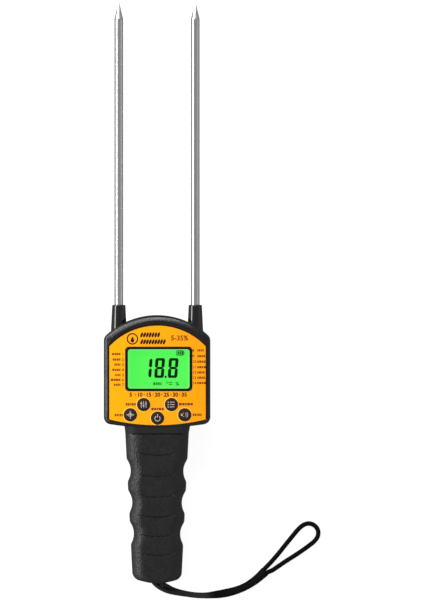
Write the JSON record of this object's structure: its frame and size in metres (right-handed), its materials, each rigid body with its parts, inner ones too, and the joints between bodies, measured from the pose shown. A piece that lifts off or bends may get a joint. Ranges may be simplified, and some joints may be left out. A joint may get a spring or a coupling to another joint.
{
  "type": "grain moisture meter",
  "caption": "Hand-held grain moisture meter: twin steel probes, arched black head with backlit display and keys, finger-grooved battery grip and wrist strap.",
  "frame": {"origin": "under the middle of the meter's length, on the plane that its flat back rests on", "axes": "+Y along the probes towards their points, +Z out of the display, +X to the right as the display is read"},
  "size_m": [0.1739, 0.478, 0.036],
  "materials": {
    "case": "fine-textured black moulded ABS",
    "label": "printed polyester label, orange yellow, satin",
    "black_gloss": "polished black insulating plastic",
    "window": "clear acrylic",
    "display": "green backlit liquid crystal",
    "backlight": "translucent light guide",
    "white_plastic": "natural nylon",
    "rubber_grey": "striped conductive elastomer",
    "board": "green solder mask on glass epoxy",
    "chip": "moulded epoxy",
    "steel": "drawn stainless steel, fine polish",
    "brass": "tinned brass",
    "keys": "moulded silicone keys, dark brown black",
    "cell": "printed sleeve over steel",
    "wire_red": "PVC insulation",
    "wire_black": "PVC insulation",
    "wire_white": "PVC insulation",
    "wire_green": "PVC insulation",
    "cord": "braided black polyester cord"
  },
  "bodies": {
    "meter": {"front_shell": "case", "rear_shell": "case", "face_label": "label", "lcd_frame": "black_gloss", "lcd_window": "window", "lcd_glass": "display", "lcd_backlight": "backlight", "lcd_holder": "white_plastic", "zebra_strips": "rubber_grey", "circuit_board": "board", "processor_chip": "chip", "amplifier_chip": "chip", "quartz_crystal": "steel", "capacitors": "chip", "buzzer": "chip", "battery_connector": "white_plastic", "circuit_board_screws": "steel", "case_screws": "steel", "left_probe_tube": "steel", "right_probe_tube": "steel", "left_probe_point": "steel", "right_probe_point": "steel", "left_collar": "black_gloss", "right_collar": "black_gloss", "probe_studs": "steel", "probe_nuts": "steel", "probe_lugs": "brass", "left_probe_wire": "wire_white", "right_probe_wire": "wire_green", "battery_cell_1": "cell", "battery_cell_2": "cell", "battery_cell_3": "cell", "battery_cell_4": "cell", "battery_springs": "steel", "battery_plates": "steel", "battery_wire_red": "wire_red", "battery_wire_black": "wire_black", "strap_cord": "cord", "strap_sleeve": "cord", "strap_anchor": "steel", "power_dome": "steel", "load_dome": "steel", "adjust_dome": "steel", "varieties_dome": "steel", "sound_dome": "steel"},
    "power_key": {"power_key": "keys"},
    "load_key": {"load_key": "keys"},
    "adjust_key": {"adjust_key": "keys"},
    "varieties_key": {"varieties_key": "keys"},
    "sound_key": {"sound_key": "keys"},
    "battery_door": {"battery_door": "case"}
  },
  "joints": [
    {"name": "power_key_press", "type": "slide", "parent": "meter", "child": "power_key", "axis": [0, 0, -1], "range_m": [0, 0.0005], "stiffness_N_per_m": 1500, "springref_m": -0.0003, "deforming": ["power_dome"]},
    {"name": "load_key_press", "type": "slide", "parent": "meter", "child": "load_key", "axis": [0, 0, -1], "range_m": [0, 0.0005], "stiffness_N_per_m": 1500, "springref_m": -0.0003, "deforming": ["load_dome"]},
    {"name": "adjust_key_press", "type": "slide", "parent": "meter", "child": "adjust_key", "axis": [0, 0, -1], "range_m": [0, 0.0005], "stiffness_N_per_m": 1500, "springref_m": -0.0003, "deforming": ["adjust_dome"]},
    {"name": "varieties_key_press", "type": "slide", "parent": "meter", "child": "varieties_key", "axis": [0, 0, -1], "range_m": [0, 0.0005], "stiffness_N_per_m": 1500, "springref_m": -0.0003, "deforming": ["varieties_dome"]},
    {"name": "sound_key_press", "type": "slide", "parent": "meter", "child": "sound_key", "axis": [0, 0, -1], "range_m": [0, 0.0005], "stiffness_N_per_m": 1500, "springref_m": -0.0003, "deforming": ["sound_dome"]},
    {"name": "battery_door_hinge", "type": "hinge", "parent": "meter", "child": "battery_door", "pos_m": [0, -0.219, 0.0025], "axis": [-1, 0, 0], "range_deg": [0, 90]}
  ]
}
